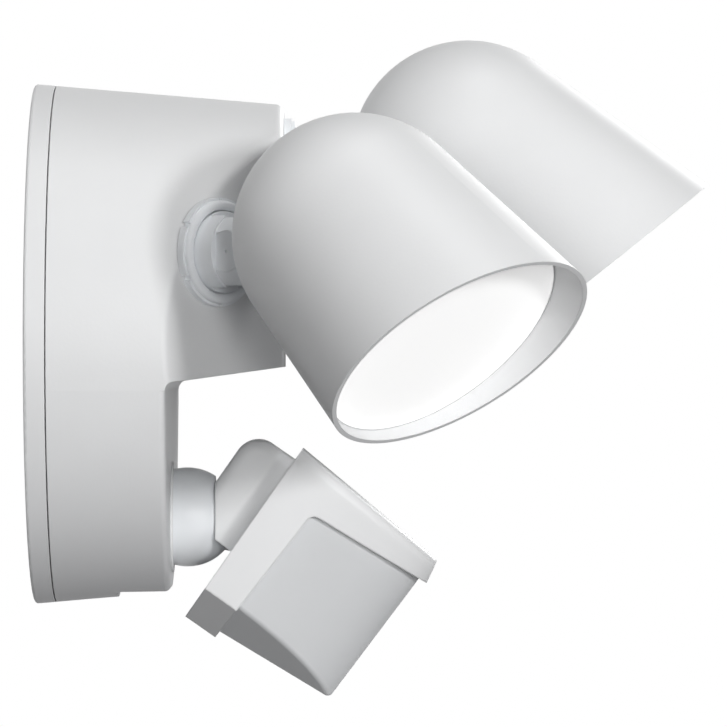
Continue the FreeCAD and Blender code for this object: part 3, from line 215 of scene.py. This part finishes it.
# ---------------------------------------------------------------- driver
# Green coated circuit board screwed to four posts, with black moulded parts soldered to it.
# The board's coat is glossier than the parts.
board_green = finish("board_green", (0.015, 0.09, 0.035), 0.36, drift=0.25, coat=0.4)
black_plastic = finish("black_plastic", (0.018, 0.018, 0.02), 0.46, skin=0.2, skin_size=0.0008,
                       drift=0.15)
dress("driver_board", board_green)
dress("driver_parts", black_plastic)
dress("board_screws", stainless)

# ---------------------------------------------------------------- lamp joints
# Locking rings, swivel arms and bolt caps: smooth satin enamel a shade cooler than the shell.
# Inside the shell each arm is held by a zinc plated nut over a rubber seal.
joint_white = finish("joint_white", (0.87, 0.89, 0.91), 0.40, skin=0.08, skin_size=0.0014)
dress("collar_rings", joint_white)
dress("swivel_seals", black_rubber)
for side in ("left", "middle", "right"):
    dress(side + "_arm", joint_white)
    dress(side + "_bolt_cap", joint_white)
    dress(side + "_swivel_nut", zinc_plate)
    dress(side + "_hinge_bolt", stainless)

# ---------------------------------------------------------------- lamp heads
# Powder coated cast shade, bare aluminium heat sink behind a white coated LED board, gloss
# white reflector, and a frosted diffuser bedded in a white seal. The lamps are switched on.
bare_aluminium = finish("bare_aluminium", (0.60, 0.60, 0.61), 0.38, metallic=1.0, skin=0.2,
                        skin_size=0.0012, drift=0.05)
board_white = finish("board_white", (0.80, 0.80, 0.77), 0.42)
reflector_white = finish("reflector_white", (0.86, 0.86, 0.85), 0.18)
white_seal = finish("white_seal", (0.74, 0.745, 0.75), 0.7, skin=0.3, skin_size=0.0012)
frosted = finish("frosted_diffuser", (0.90, 0.90, 0.90), 0.55, skin=0.2, skin_size=0.0006, drift=0.01)
lit = frosted.node_tree.nodes["Principled BSDF"]
lit.inputs["Emission Color"].default_value = (1.0, 0.995, 0.985, 1.0)
lit.inputs["Emission Strength"].default_value = 0.42
for side in ("left", "middle", "right"):
    dress(side + "_shade", powder_white)
    dress(side + "_heat_sink", bare_aluminium)
    dress(side + "_led_board", board_white)
    dress(side + "_reflector", reflector_white)
    dress(side + "_diffuser", frosted)
    dress(side + "_lens_seal", white_seal)

# ---------------------------------------------------------------- sensor joint
# Gloss moulded ball drawn into its seat by a spring-loaded stainless bolt through a small
# gimbal ring, with a dark nylon cup behind the seat that the spring bears on.
ball_white = finish("ball_white", (0.86, 0.88, 0.90), 0.34, drift=0.01)
sensor_white = finish("sensor_white", (0.80, 0.805, 0.81), 0.42, skin=0.12, skin_size=0.0007)
dark_nylon = finish("dark_nylon", (0.035, 0.035, 0.038), 0.5, skin=0.2, skin_size=0.001)
dress("sensor_ball", ball_white)
dress("ball_seat", sensor_white)
dress("spring_bridge", dark_nylon)
for node in ("tension_bolt", "tension_spring", "tension_nut", "gimbal_ring", "pan_pins", "tilt_pins"):
    dress(node, stainless)

# ---------------------------------------------------------------- sensor
# Moulded white cover and rear shell round a translucent lens, with the circuit board and the
# infrared element inside and two black setting knobs in the back panel. The wide soft edge
# rounds off the light on the cover's corners.
cover_white = finish("cover_white", (0.81, 0.815, 0.82), 0.42, skin=0.12, skin_size=0.0007,
                     edge=0.0011)
dress("sensor_rear_shell", cover_white)
dress("sensor_cover", cover_white)
milky = finish("milky_lens", (0.68, 0.69, 0.70), 0.38, drift=0.015, skin=0.06, skin_size=0.0008)
milky_shader = milky.node_tree.nodes["Principled BSDF"]
milky_shader.inputs["Subsurface Weight"].default_value = 0.3
milky_shader.inputs["Subsurface Radius"].default_value = (0.002, 0.002, 0.002)
dress("fresnel_lens", milky)
dress("sensor_board", board_green)
dress("infrared_element", bare_aluminium)
dress("range_knob", black_plastic)
dress("time_knob", black_plastic)
dress("cover_screws", stainless)
